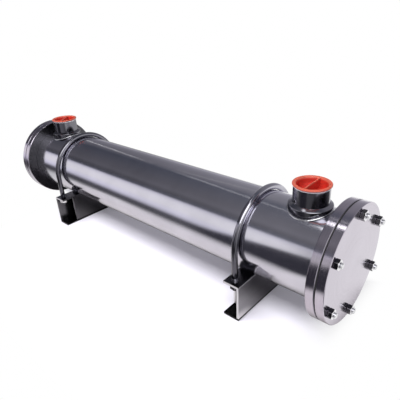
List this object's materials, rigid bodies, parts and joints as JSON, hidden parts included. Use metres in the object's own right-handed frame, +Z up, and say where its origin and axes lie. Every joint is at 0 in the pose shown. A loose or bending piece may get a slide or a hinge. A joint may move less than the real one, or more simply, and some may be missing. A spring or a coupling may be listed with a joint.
{
  "type": "shell and tube heat exchanger",
  "caption": "Horizontal shell and tube heat exchanger: a polished tube shell with bolted blind covers, capped top nozzles and channel feet under U-bolts.",
  "frame": {"origin": "on the floor, under the middle of the shell", "axes": "+X along the shell to the near end, +Y across it, +Z up"},
  "size_m": [1.283, 0.2851, 0.356],
  "materials": {
    "polished_shell_steel": "polished",
    "turned_flange_steel": "turned, bright edges",
    "gasket_black": "matte",
    "bright_stud_steel": "bright zinc",
    "plated_nut_steel": "bright plated",
    "dark_nozzle_steel": "polished dark",
    "red_plug_plastic": "satin",
    "foot_plate_steel": "mill skin, bright cut ends",
    "dark_bar_steel": "polished dark"
  },
  "bodies": {
    "root": {"shell": "polished_shell_steel", "near_shell_flange": "turned_flange_steel", "near_gasket": "gasket_black", "near_cover": "turned_flange_steel", "near_cover_studs": "bright_stud_steel", "near_cover_nuts": "plated_nut_steel", "near_nozzle": "dark_nozzle_steel", "near_nozzle_collar": "dark_nozzle_steel", "near_cap": "red_plug_plastic", "near_foot": "foot_plate_steel", "near_foot_stiffener": "foot_plate_steel", "near_u_bolt": "dark_bar_steel", "near_u_bolt_nuts": "bright_stud_steel", "far_shell_flange": "turned_flange_steel", "far_gasket": "gasket_black", "far_cover": "turned_flange_steel", "far_cover_studs": "bright_stud_steel", "far_cover_nuts": "plated_nut_steel", "far_nozzle": "dark_nozzle_steel", "far_nozzle_collar": "dark_nozzle_steel", "far_cap": "red_plug_plastic", "far_foot": "foot_plate_steel", "far_foot_stiffener": "foot_plate_steel", "far_u_bolt": "dark_bar_steel", "far_u_bolt_nuts": "bright_stud_steel"}
  },
  "joints": []
}
